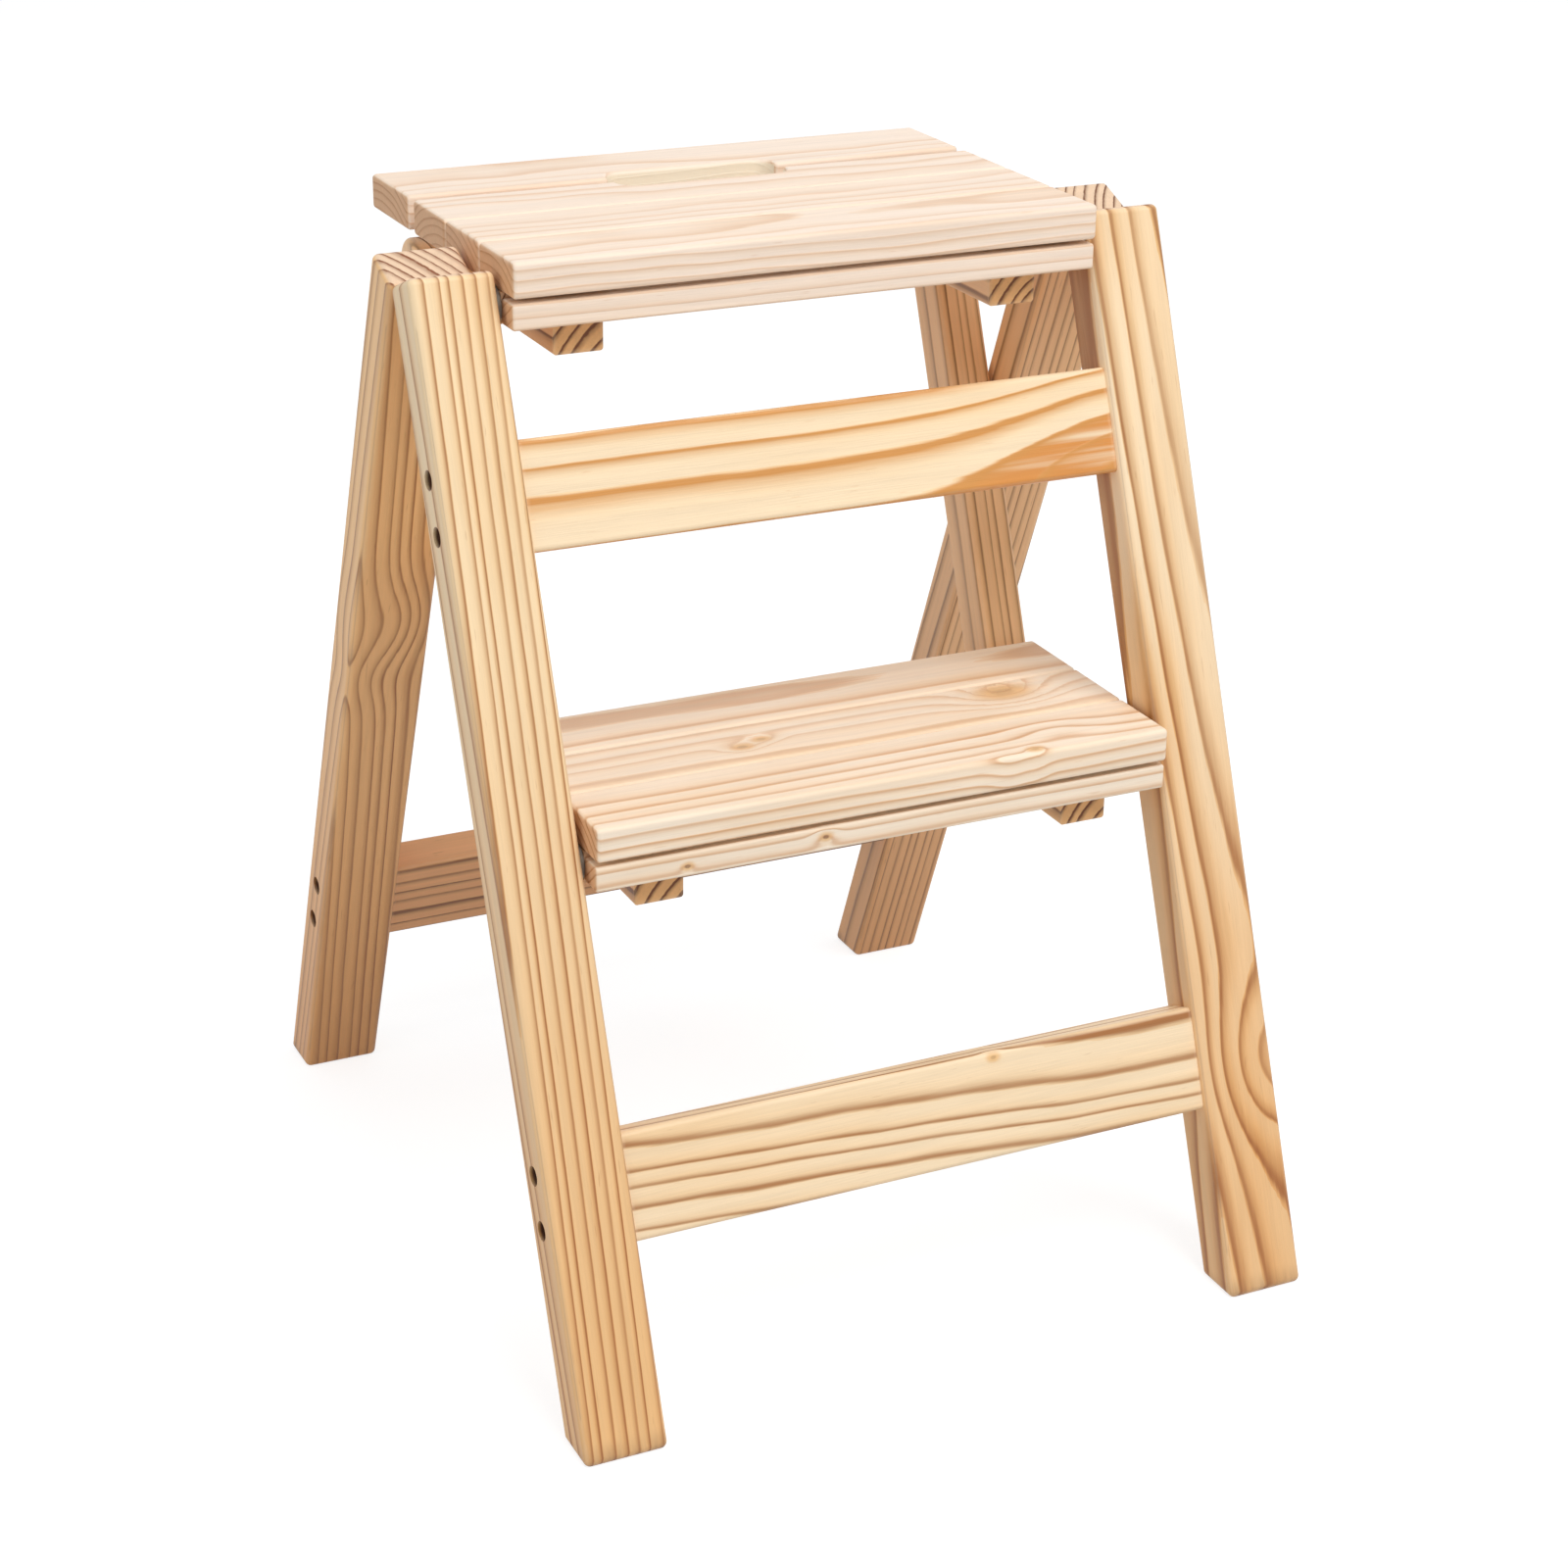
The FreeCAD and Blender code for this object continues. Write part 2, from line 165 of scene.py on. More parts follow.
def growth_rings():
    """Yearly rings round a pith line that runs roughly along the board."""
    tree, b, given, out = new_group(
        "Growth Rings",
        [("Place", "v"), ("Pith", "v"), ("Pith Drift", "v"), ("Ring Width", "f"), ("Phase", "f"),
         ("Wander", "f"), ("Wander Length", "f"), ("Push", "f"), ("Late Share", "f"), ("Heart Years", "f"),
         ("Seed", "f")],
        [("Latewood", "f"), ("Year Tone", "f"), ("Amber", "f"), ("Heart", "f")])
    place = given["Place"]
    seed = b.vector("SCALE", b.joined(7.3, 3.1, 5.7), None)
    b.feed(seed.node.inputs["Scale"], given["Seed"])
    along = b.split(place)[0]
    stretch = b.joined(given["Wander Length"], CROSS_WANDER, CROSS_WANDER)
    drift_place = b.vector("ADD", b.vector("MULTIPLY", place, stretch), seed)
    drift = b.vector("SUBTRACT", b.noise(drift_place, 1.0, 2.0, 0.45).outputs["Color"], (0.5, 0.5, 0.5))
    wander = b.vector("SCALE", drift, None)
    b.feed(wander.node.inputs["Scale"], b.maths("MULTIPLY", given["Wander"], 2.0))
    line = b.vector("MULTIPLY_ADD", given["Pith Drift"], b.joined(along, along, along), given["Pith"])
    off = b.split(b.vector("ADD", b.vector("SUBTRACT", place, line), wander))
    radius = b.maths("SQRT", b.maths("ADD", b.maths("POWER", off[1], 2.0), b.maths("POWER", off[2], 2.0)))
    radius = b.maths("ADD", radius, given["Push"])
    plain = b.maths("ADD", b.maths("DIVIDE", radius, given["Ring Width"]), given["Phase"])
    uneven = b.noise(b.joined(b.maths("MULTIPLY", plain, 0.55), given["Seed"], 0.0), 1.0, 1.0).outputs["Fac"]
    year = b.maths("MULTIPLY_ADD", b.maths("SUBTRACT", uneven, 0.5), YEAR_UNEVENNESS, plain)
    ragged_place = b.vector("ADD", b.vector("MULTIPLY", place, RAGGED_SCALE), seed)
    ragged = b.noise(ragged_place, 1.0, 2.0).outputs["Fac"]
    year = b.maths("MULTIPLY_ADD", b.maths("SUBTRACT", ragged, 0.5), EDGE_RAGGEDNESS, year)
    share = b.maths("FRACT", year)
    start = b.maths("SUBTRACT", RAMP_END, given["Late Share"])
    late = b.between(CORE_SHARE, b.rise(share, start, RAMP_FULL), b.rise(share, CORE_START, CORE_FULL))
    late = b.maths("MULTIPLY", late, b.maths("SUBTRACT", 1.0, b.rise(share, YEAR_FALL, 1.0)))
    tone = b.node("ShaderNodeTexWhiteNoise", noise_dimensions="1D")
    b.feed(tone.inputs["W"], b.maths("ADD", b.maths("FLOOR", year), given["Seed"]))
    b.feed(out["Latewood"], late)
    b.feed(out["Year Tone"], tone.outputs["Value"])
    b.feed(out["Amber"], b.rise(share, AMBER_START, AMBER_FULL))
    outside = b.rise(b.maths("SUBTRACT", year, given["Heart Years"]), -0.10, 0.0)
    b.feed(out["Heart"], b.maths("SUBTRACT", 1.0, outside))
    return tree


def swell():
    """A branch out of sight that pushes the rings aside over a stretch of the board."""
    tree, b, given, out = new_group(
        "Swell", [("Place", "v"), ("Centre", "v"), ("Reach", "v"), ("Amount", "f")], [("Push", "f")])
    off = b.vector("DIVIDE", b.vector("SUBTRACT", given["Place"], given["Centre"]), given["Reach"])
    square = b.vector("DOT_PRODUCT", off, off)
    bell = b.maths("EXPONENT", b.maths("MULTIPLY", square, -1.0))
    b.feed(out["Push"], b.maths("MULTIPLY", bell, given["Amount"]))
    return tree


KNOT_SHAPE = (0.62, 1.0, 0.0)  # longer along the grain, and the same all through the board


def knot():
    """A knot through the board: its core, the amber wood round it and how far it pushes the rings."""
    tree, b, given, out = new_group(
        "Knot", [("Place", "v"), ("Centre", "v"), ("Size", "f"), ("Spread", "f"), ("Depth of Tone", "f")],
        [("Push", "f"), ("Core", "f"), ("Halo", "f")])
    off = b.vector("MULTIPLY", b.vector("SUBTRACT", given["Place"], given["Centre"]), KNOT_SHAPE)
    wobble = b.noise(given["Place"], 300.0, 2.0)
    gap = b.maths("DIVIDE", b.vector("LENGTH", off), given["Size"])
    gap = b.maths("MULTIPLY_ADD", b.maths("SUBTRACT", wobble.outputs["Fac"], 0.5), 0.5, gap)
    fall = b.maths("DIVIDE", gap, given["Spread"])
    bell = b.maths("EXPONENT", b.maths("MULTIPLY", b.maths("MULTIPLY", fall, fall), -1.0))
    b.feed(out["Push"], b.maths("MULTIPLY", bell, b.maths("MULTIPLY", given["Size"], given["Spread"])))
    core = b.maths("SUBTRACT", 1.0, b.rise(gap, 0.45, 1.0))
    rings = b.maths("FRACT", b.maths("MULTIPLY", gap, 4.0))
    core = b.maths("MULTIPLY", core, b.maths("MULTIPLY_ADD", rings, 0.35, 0.65))
    b.feed(out["Core"], b.maths("MULTIPLY", core, given["Depth of Tone"]))
    b.feed(out["Halo"], b.maths("SUBTRACT", 1.0, b.rise(gap, 0.9, 3.0)))
    return tree


# Turns of the pattern per metre, along and across the grain, and its detail
FIBRE_SCALES = (("Fibre", (45.0, 1500.0, 1500.0), 3.0), ("Streak", (7.0, 260.0, 260.0), 2.0),
                ("Cloud", (5.0, 24.0, 24.0), 2.0))
FLECK_SCALE = (70.0, 900.0, 900.0)


def wood_fibre():
    """Fine fibres, broader streaks and slow clouds of tone along the grain."""
    tree, b, given, out = new_group(
        "Wood Fibre", [("Place", "v"), ("Seed", "f")],
        [("Fibre", "f"), ("Streak", "f"), ("Cloud", "f"), ("Fleck", "f")])
    seed = b.joined(given["Seed"], given["Seed"], 0.0)
    for name, stretch, detail in FIBRE_SCALES:
        where = b.vector("ADD", b.vector("MULTIPLY", given["Place"], stretch), seed)
        b.feed(out[name], b.noise(where, 1.0, detail).outputs["Fac"])
    where = b.vector("ADD", b.vector("MULTIPLY", given["Place"], FLECK_SCALE), seed)
    b.feed(out["Fleck"], b.rise(b.noise(where, 1.0, 1.0).outputs["Fac"], 0.70, 0.78))
    return tree


# Walls of bores, which take painted shade, told from the outer faces by their distance to them, in metres
BORE_LIP, BORE_DEEP = 0.0004, 0.0020
CUT_END = (0.020, 0.024)  # nearer to a sawn end, no wall is a bore's


def edges_and_bores():
    """The masks of the narrow band along the edges of a bar and of the walls of its bores, where painted
    shade goes.
    """
    tree, b, given, out = new_group(
        "Edges and Bores", [("Place", "v"), ("Half Size", "v"), ("Width", "f"), ("Seed", "f")],
        [("Edge", "f"), ("Bore", "f")])
    inset = b.split(b.vector("SUBTRACT", given["Half Size"], b.vector("ABSOLUTE", given["Place"])))
    pairs = [b.maths("MAXIMUM", inset[i], inset[j]) for i, j in ((0, 1), (1, 2), (0, 2))]
    nearest = b.maths("MINIMUM", b.maths("MINIMUM", pairs[0], pairs[1]), pairs[2])
    band_noise = b.noise(b.vector("ADD", given["Place"], b.joined(given["Seed"], 0.0, 0.0)), 90.0, 3.0)
    reach = b.maths("MULTIPLY", given["Width"], b.maths("MULTIPLY_ADD", band_noise.outputs["Fac"], 1.4, 0.3))
    b.feed(out["Edge"], b.maths("SUBTRACT", 1.0, b.rise(b.maths("DIVIDE", nearest, reach), 0.3, 1.0)))
    # Walls of bores: they take painted shade, and in the seat's hand slot a painted highlight
    deep = b.rise(b.maths("MINIMUM", inset[1], inset[2]), BORE_LIP, BORE_DEEP)
    b.feed(out["Bore"], b.maths("MULTIPLY", deep, b.rise(inset[0], *CUT_END)))
    return tree


KNOT_TONE = tint(112, 62, 34)
EDGE_PALE_TONE = tint(246, 222, 190)
# Painted contact shadow at the feet of the legs
FOOT_CONTACT_SHADE = tint(120, 84, 56)
END_LATE = tint(220, 202, 184)  # multiplies the late wood's colour on a sawn end


def pine_colour():
    """Pine under a clear coat: colour, roughness and height from the masks of the other groups."""
    tree, b, given, out = new_group(
        "Pine Colour",
        [(label, "c") for label in ("Pale", "Late", "Warm", "End", "Heartwood", "Low End", "Bore Tone")]
        + [(label, "f") for label in ("Scuff", "Contrast", "Warmth", "Heart", "Low Share", "Latewood",
                                      "Year Tone", "Amber", "Fibre", "Streak", "Cloud", "Fleck",
                                      "Knot Core", "Knot Halo", "End Grain", "Edge", "Bore")],
        [("Colour", "c"), ("Roughness", "f"), ("Height", "f")])
    amber = b.maths("MULTIPLY", given["Amber"], b.maths("MULTIPLY_ADD", given["Year Tone"], 0.5, 0.5))
    amber = b.maths("MULTIPLY", amber, given["Warmth"])
    cloud = b.rise(given["Cloud"], 0.40, 0.68)
    amber = b.maths("MULTIPLY_ADD", cloud, b.maths("MULTIPLY", given["Warmth"], 0.5), amber, clamp=True)
    ground = b.colour(b.maths("MAXIMUM", amber, b.maths("MULTIPLY", given["Knot Halo"], 0.8)),
                      given["Pale"], given["Warm"])
    streaked = b.maths("MULTIPLY", given["Heart"], b.rise(given["Streak"], 0.25, 0.60))
    ground = b.colour(streaked, ground, given["Heartwood"])
    ground = b.colour(given["End Grain"], ground, given["End"])
    strength = b.maths("MULTIPLY_ADD", given["Year Tone"], 0.4, 0.35)
    strength = b.maths("MULTIPLY_ADD", given["Streak"], 0.7, strength)
    contrast = b.maths("MULTIPLY_ADD", given["End Grain"], 0.4, given["Contrast"])
    late = b.maths("MULTIPLY", b.maths("MULTIPLY", given["Latewood"], strength), contrast, clamp=True)
    end_tone = b.colour(1.0, given["Late"], END_LATE, "MULTIPLY")
    late_tone = b.colour(given["End Grain"], given["Late"], end_tone)
    wood = b.colour(late, ground, late_tone)
    grey = b.maths("MULTIPLY_ADD", b.maths("SUBTRACT", given["Streak"], 0.5), 0.20, 1.0)
    grey = b.maths("MULTIPLY_ADD", b.maths("SUBTRACT", given["Fibre"], 0.5), 0.16, grey)
    wood = b.colour(1.0, wood, b.joined(grey, grey, grey), "MULTIPLY")
    wood = b.colour(b.maths("MULTIPLY", given["Fleck"], 0.22), wood, given["Late"])
    # Painted shade: the lower part of a leg gets darker towards its foot
    wood = b.colour(given["Low Share"], wood, b.colour(1.0, wood, given["Low End"], "MULTIPLY"))
    wood = b.colour(b.maths("MULTIPLY", given["Knot Core"], 0.9), wood, KNOT_TONE)
    # A paler band along the edges
    wood = b.colour(b.maths("MULTIPLY", given["Edge"], 0.16), wood, EDGE_PALE_TONE)
    # Painted shade on the walls of bores; in the seat's hand slot a painted highlight instead
    wood = b.colour(given["Bore"], wood, given["Bore Tone"])
    # Painted contact shadow at the foot, patchy along the streaks
    contact_shaded = b.maths("MULTIPLY", given["Scuff"], b.rise(given["Streak"], 0.2, 0.7))
    wood = b.colour(contact_shaded, wood, FOOT_CONTACT_SHADE)
    rough = b.maths("MULTIPLY_ADD", given["Fibre"], 0.16, 0.40)
    rough = b.maths("MULTIPLY_ADD", given["End Grain"], 0.18, rough)
    b.feed(out["Colour"], wood)
    b.feed(out["Roughness"], b.maths("MULTIPLY_ADD", given["Edge"], 0.08, rough))
    relief = b.maths("MULTIPLY_ADD", given["Latewood"], 0.5, b.maths("MULTIPLY", given["Fibre"], 0.45))
    b.feed(out["Height"], b.maths("MULTIPLY_ADD", given["Knot Core"], -0.6, relief))
    return tree


RINGS = growth_rings()
SWELL = swell()
KNOT = knot()
FIBRE = wood_fibre()
EDGE = edges_and_bores()
PINE = pine_colour()

PALE_PINE = tint(250, 224, 186)
GOLD_PINE = tint(249, 220, 176)
CREAM_PINE = tint(251, 230, 210)
# Painted light: the step's own peach tone, made paler to make up for the seat's shade over the step
PEACH_PINE_PAINTED_LIGHT = tint(255, 237, 214)
# Painted shade: the shaded, ruddy and brown pine and the ruddy and dark late colours are darker, warmer
# copies of the pine for the rear legs, rear rail, struts, cleats and pivot blocks, which sit in shade
SHADED_PINE = tint(254, 208, 158)
RUDDY_SHADED_PINE = tint(255, 206, 146)
BROWN_SHADED_PINE = tint(232, 172, 122)
LATE_BROWN = tint(166, 108, 56)
LATE_RUDDY_SHADED = tint(152, 92, 46)
LATE_DARK_SHADED = tint(128, 80, 42)
LATE_GOLD = tint(212, 146, 72)
LATE_ROSE = tint(216, 164, 118)
AMBER_PINE = tint(236, 186, 120)
ORANGE_PINE = tint(216, 142, 66)
HONEY_WARM = tint(250, 208, 150)
PEACH_WARM = tint(246, 208, 164)
END_PALE = tint(236, 204, 172)
END_GOLD = tint(236, 182, 122)
END_BROWN = tint(224, 178, 136)
# Painted shade multiplied into the legs towards their feet; white is none
NO_FOOT_SHADE = tint(255, 255, 255)
FRONT_FOOT_SHADE = tint(243, 219, 190)
REAR_FOOT_SHADE = tint(232, 212, 192)
# Painted shade in the walls of screw wells, and a painted highlight in the seat's hand slot
WELL_PAINTED_SHADE = tint(96, 62, 42)
SLOT_PAINTED_HIGHLIGHT = tint(253, 240, 216)
BUMP_DEPTH = 0.00035
BUMP_STRENGTH = 0.6
COAT_WEIGHT = 0.08
COAT_ROUGHNESS = 0.35
EDGE_BAND = 0.0020
# How far up from the foot the painted contact shadow reaches
CONTACT_SHADE_REACH = 0.012


def grain_frame(node, along, across):
    """A node's middle, its grain directions as a turn, and half its size along them."""
    turn = Matrix((along, across, along.cross(across))).transposed()
    seen = [turn.transposed() @ v.co for v in nodes[node].data.vertices]
    top = Vector([max(p[i] for p in seen) for i in range(3)])
    bottom = Vector([min(p[i] for p in seen) for i in range(3)])
    return turn @ ((top + bottom) / 2), turn, (top - bottom) / 2


def pine(node, along, across, seed, pith, ring, drift=(0, 0), phase=0.0, wander=0.004, wander_length=4.0,
         late_share=0.42, heart_years=-9.0, pale=PALE_PINE, late=LATE_BROWN, warm=AMBER_PINE, end=END_PALE,
         low_end_shade=NO_FOOT_SHADE, contrast=0.8, warmth=0.5, knots=(), swells=(), wells=0.0, well_painted_shading=WELL_PAINTED_SHADE,
         contact_shaded=0.0):
    """Finishes one board. The pith's place is given from the board's middle, across and through it.
    A swell is (along, across, reach along, reach across, amount).
    A knot is (along, across, size, spread, depth of tone)."""
    centre, turn, half = grain_frame(node, along, across)
    material = bpy.data.materials.new("pine_" + node)
    material.use_nodes = True
    tree = material.node_tree
    tree.nodes.clear()
    b = Bench(tree)
    coordinates = b.node("ShaderNodeTexCoord").outputs
    mapping = b.node("ShaderNodeMapping", vector_type="TEXTURE")
    b.feed(mapping.inputs["Vector"], coordinates["Object"])
    mapping.inputs["Location"].default_value = centre
    mapping.inputs["Rotation"].default_value = turn.to_euler("XYZ")
    place = mapping.outputs[0]
    push, core, halo = 0.0, 0.0, 0.0
    for lengthwise, sideways, reach_long, reach_side, amount in swells:
        found = b.group(SWELL, Place=place, Centre=(lengthwise, sideways, 0.0),
                        Reach=(reach_long, reach_side, 1.0), Amount=amount)
        push = b.maths("ADD", found["Push"], push)
    for lengthwise, sideways, size, spread, tone in knots:
        found = b.group(KNOT, Place=place, Centre=(lengthwise, sideways, 0.0), Size=size, Spread=spread,
                        Depth_of_Tone=tone)
        push = b.maths("ADD", found["Push"], push)
        core = b.maths("MAXIMUM", found["Core"], core)
        halo = b.maths("MAXIMUM", found["Halo"], halo)
    rings = b.group(RINGS, Place=place, Pith=(0.0, *pith), Pith_Drift=(0.0, *drift), Ring_Width=ring,
                    Phase=phase, Wander=wander, Wander_Length=wander_length, Push=push,
                    Late_Share=late_share, Heart_Years=heart_years, Seed=seed)
    fibre = b.group(FIBRE, Place=place, Seed=seed)
    edge = b.group(EDGE, Place=place, Half_Size=half, Width=EDGE_BAND, Seed=seed)
    facing = b.maths("ABSOLUTE", b.vector("DOT_PRODUCT", coordinates["Normal"], along))
    lengthwise = b.split(place)[0]
    # Painted shade rising towards the low end of the bar
    low_share = b.maths("SUBTRACT", 1.0, b.rise(lengthwise, -half[0], 0.7 * half[0]))
    # Painted contact shadow within the last stretch by the foot
    contact_shade = b.maths("SUBTRACT", 1.0, b.rise(lengthwise, -half[0], -half[0] + CONTACT_SHADE_REACH))
    # Painted shade goes on the walls of bores (a painted highlight in the seat's hand slot), as much as wells
    # gives
    finish = b.group(PINE, Pale=pale, Late=late, Warm=warm, End=end, Contrast=contrast, Warmth=warmth,
                     Heartwood=ORANGE_PINE, Heart=rings["Heart"], Low_End=low_end_shade, Low_Share=low_share,
                     Bore_Tone=well_painted_shading, Scuff=b.maths("MULTIPLY", contact_shade, contact_shaded),
                     Latewood=rings["Latewood"], Year_Tone=rings["Year Tone"], Amber=rings["Amber"],
                     Fibre=fibre["Fibre"], Streak=fibre["Streak"], Cloud=fibre["Cloud"], Fleck=fibre["Fleck"],
                     Knot_Core=core, Knot_Halo=halo, End_Grain=b.rise(facing, 0.55, 0.9), Edge=edge["Edge"],
                     Bore=b.maths("MULTIPLY", edge["Bore"], wells))
    bump = b.node("ShaderNodeBump")
    bump.inputs["Strength"].default_value = BUMP_STRENGTH
    bump.inputs["Distance"].default_value = BUMP_DEPTH
    b.feed(bump.inputs["Height"], finish["Height"])
    shader = b.node("ShaderNodeBsdfPrincipled")
    b.feed(shader.inputs["Base Color"], finish["Colour"])
    b.feed(shader.inputs["Roughness"], finish["Roughness"])
    b.feed(shader.inputs["Normal"], bump.outputs[0])
    shader.inputs["Coat Weight"].default_value = COAT_WEIGHT
    shader.inputs["Coat Roughness"].default_value = COAT_ROUGHNESS
    b.feed(b.node("ShaderNodeOutputMaterial").inputs["Surface"], shader.outputs[0])
    body = nodes[node]
    body.data.materials.clear()
    body.data.materials.append(material)


# Grain directions of the pieces
ACROSS = Vector((1, 0, 0))
UP = Vector((0, 0, 1))
BACK = Vector((0, 1, 0))
UP_FRONT_LEG = Vector((0, math.sin(FRONT_LEAN), math.cos(FRONT_LEAN)))
UP_REAR_LEG = Vector((0, -math.sin(REAR_LEAN), math.cos(REAR_LEAN)))


def finish_front_frame():
    pine("front_leg_left", UP_FRONT_LEG, ACROSS, 1.0, pith=(-0.085, -0.040), drift=(0.020, 0), ring=0.0056,
         wander=0.0014, wander_length=3.0, late_share=0.46, pale=GOLD_PINE, late=LATE_BROWN, warm=AMBER_PINE,
         low_end_shade=FRONT_FOOT_SHADE, contrast=0.85, warmth=0.6, wells=1.0, contact_shaded=0.5)
    pine("front_leg_right", UP_FRONT_LEG, ACROSS, 2.0, pith=(0.024, 0.017), drift=(0, -0.060), ring=0.0088,
         wander=0.003, late_share=0.46, late=LATE_BROWN, warm=AMBER_PINE, low_end_shade=FRONT_FOOT_SHADE, contrast=0.85,
         warmth=0.7, wells=1.0, contact_shaded=0.5, swells=((-0.153, 0.026, 0.034, 0.034, -0.017),))
    pine("front_upper_rail", ACROSS, UP_FRONT_LEG, 3.0, pith=(-0.032, -0.020), ring=0.0108, wander=0.003,
         late_share=0.50, heart_years=3.0, late=LATE_GOLD, warm=HONEY_WARM, contrast=1.15, warmth=0.6,
         swells=((0.168, -0.030, 0.068, 0.060, -0.024),))
    pine("front_lower_rail", ACROSS, UP_FRONT_LEG, 4.0, pith=(0.034, -0.015), drift=(-0.055, 0),
         ring=0.0082, phase=-0.3, wander=0.0028, wander_length=9.0, late_share=0.34, late=LATE_BROWN,
         contrast=0.9, warmth=0.45, knots=((0.040, 0.022, 0.0012, 3.0, 0.4),))


def finish_rear_frame():
    pine("rear_leg_left", UP_REAR_LEG, ACROSS, 5.0, pith=(-0.085, -0.060), drift=(-0.028, 0), ring=0.0050,
         wander=0.0014, late_share=0.62, pale=RUDDY_SHADED_PINE, late=LATE_RUDDY_SHADED, warm=AMBER_PINE, low_end_shade=REAR_FOOT_SHADE,
         contrast=0.85, warmth=0.3, wells=1.0, contact_shaded=0.8,
         swells=((0.066, 0.008, 0.026, 0.022, -0.0080), (0.030, -0.008, 0.018, 0.016, 0.0040)))
    pine("rear_leg_right", UP_REAR_LEG, ACROSS, 6.0, pith=(0.090, -0.050), drift=(0.01, 0), ring=0.0048,
         wander=0.0012, late_share=0.44, pale=SHADED_PINE, late=LATE_DARK_SHADED, warm=AMBER_PINE, low_end_shade=REAR_FOOT_SHADE,
         contrast=0.8, warmth=0.3, wells=1.0, contact_shaded=0.8)
    pine("rear_rail", ACROSS, UP_REAR_LEG, 7.0, pith=(-0.090, 0.015), ring=0.0075, wander=0.002,
         late_share=0.44, pale=BROWN_SHADED_PINE, late=LATE_DARK_SHADED, warm=AMBER_PINE, contrast=1.0, warmth=0.3)


def finish_platforms():
    seat_piths = ((0.012, -0.055), (0.030, -0.080), (-0.020, -0.065), (0.016, -0.090))
    for index, pith in enumerate(seat_piths):
        pine("seat_slat_%d" % (index + 1), ACROSS, BACK, 10.0 + index, pith=pith, ring=0.0040, wander=0.005,
             wander_length=7.0, late_share=0.46, pale=CREAM_PINE, late=LATE_ROSE, warm=PEACH_WARM,
             end=END_BROWN, contrast=0.45, warmth=0.3, wells=1.0, well_painted_shading=SLOT_PAINTED_HIGHLIGHT)
    pine("step_board_1", ACROSS, BACK, 20.0, pith=(0.020, -0.045), ring=0.0046, wander=0.003, late_share=0.36,
         pale=PEACH_PINE_PAINTED_LIGHT, late=LATE_ROSE, warm=AMBER_PINE, end=END_BROWN, contrast=0.85, warmth=0.40,
         swells=((0.062, -0.024, 0.012, 0.010, 0.0028), (0.096, -0.002, 0.020, 0.012, 0.0034)),
         knots=((0.076, -0.017, 0.0016, 2.5, 0.25),))
    pine("step_board_2", ACROSS, BACK, 21.0, pith=(-0.030, -0.050), ring=0.0050, wander=0.004,
         late_share=0.40, pale=PEACH_PINE_PAINTED_LIGHT, late=LATE_ROSE, warm=AMBER_PINE, end=END_BROWN, contrast=0.45,
         warmth=0.35,
         knots=((0.097, 0.008, 0.0050, 3.0, 0.25), (-0.048, -0.004, 0.0022, 3.0, 0.4),
                (-0.036, 0.001, 0.0018, 3.0, 0.3)))
    pine("step_board_3", ACROSS, BACK, 22.0, pith=(0.010, -0.060), ring=0.0046, wander=0.004, late_share=0.40,
         pale=PEACH_PINE_PAINTED_LIGHT, late=LATE_ROSE, warm=AMBER_PINE, end=END_BROWN, contrast=0.6, warmth=0.35)
    pine("seat_apron", ACROSS, UP, 30.0, pith=(0.060, -0.040), ring=0.0045, wander=0.002, late_share=0.40,
         pale=CREAM_PINE, late=LATE_ROSE, warm=PEACH_WARM, end=END_BROWN, contrast=0.5, warmth=0.3)
    pine("step_apron", ACROSS, UP, 40.0, pith=(0.050, -0.040), ring=0.0045, wander=0.002, late_share=0.40,
         pale=PEACH_PINE_PAINTED_LIGHT, late=LATE_ROSE, warm=AMBER_PINE, end=END_BROWN, contrast=0.7, warmth=0.3,
         knots=((-0.0335, 0.001, 0.0013, 3.0, 0.9), (-0.102, -0.001, 0.0012, 2.0, 0.8)))
    for part, seed in (("seat", 60.0), ("step", 70.0)):
        for side, shift in (("left", 1.0), ("right", 2.0)):
            pine("%s_cleat_%s" % (part, side), BACK, ACROSS, seed + shift, pith=(0.030, 0.035), ring=0.0062,
                 late_share=0.50, pale=SHADED_PINE, late=LATE_DARK_SHADED, end=END_GOLD, contrast=1.2)
            pine("%s_pivot_block_%s" % (part, side), BACK, ACROSS, seed + shift + 2, pith=(0.030, 0.020),
                 ring=0.0045, late_share=0.40, pale=SHADED_PINE, end=END_BROWN)


def finish_struts():
    for side, seed, pith in (("left", 50.0, 0.05), ("right", 51.0, -0.07)):
        pine("strut_" + side, UP_FRONT_LEG, ACROSS, seed, pith=(pith, 0.020), ring=0.0048, wander=0.0015,
             late_share=0.44, pale=SHADED_PINE, late=LATE_DARK_SHADED, warm=AMBER_PINE, contrast=0.8, warmth=0.4)


ZINC_TONE = tint(150, 146, 138)
ZINC_BUMP_DEPTH = 0.00005
BRUSH_SCALE = (2600.0, 900.0, 900.0)


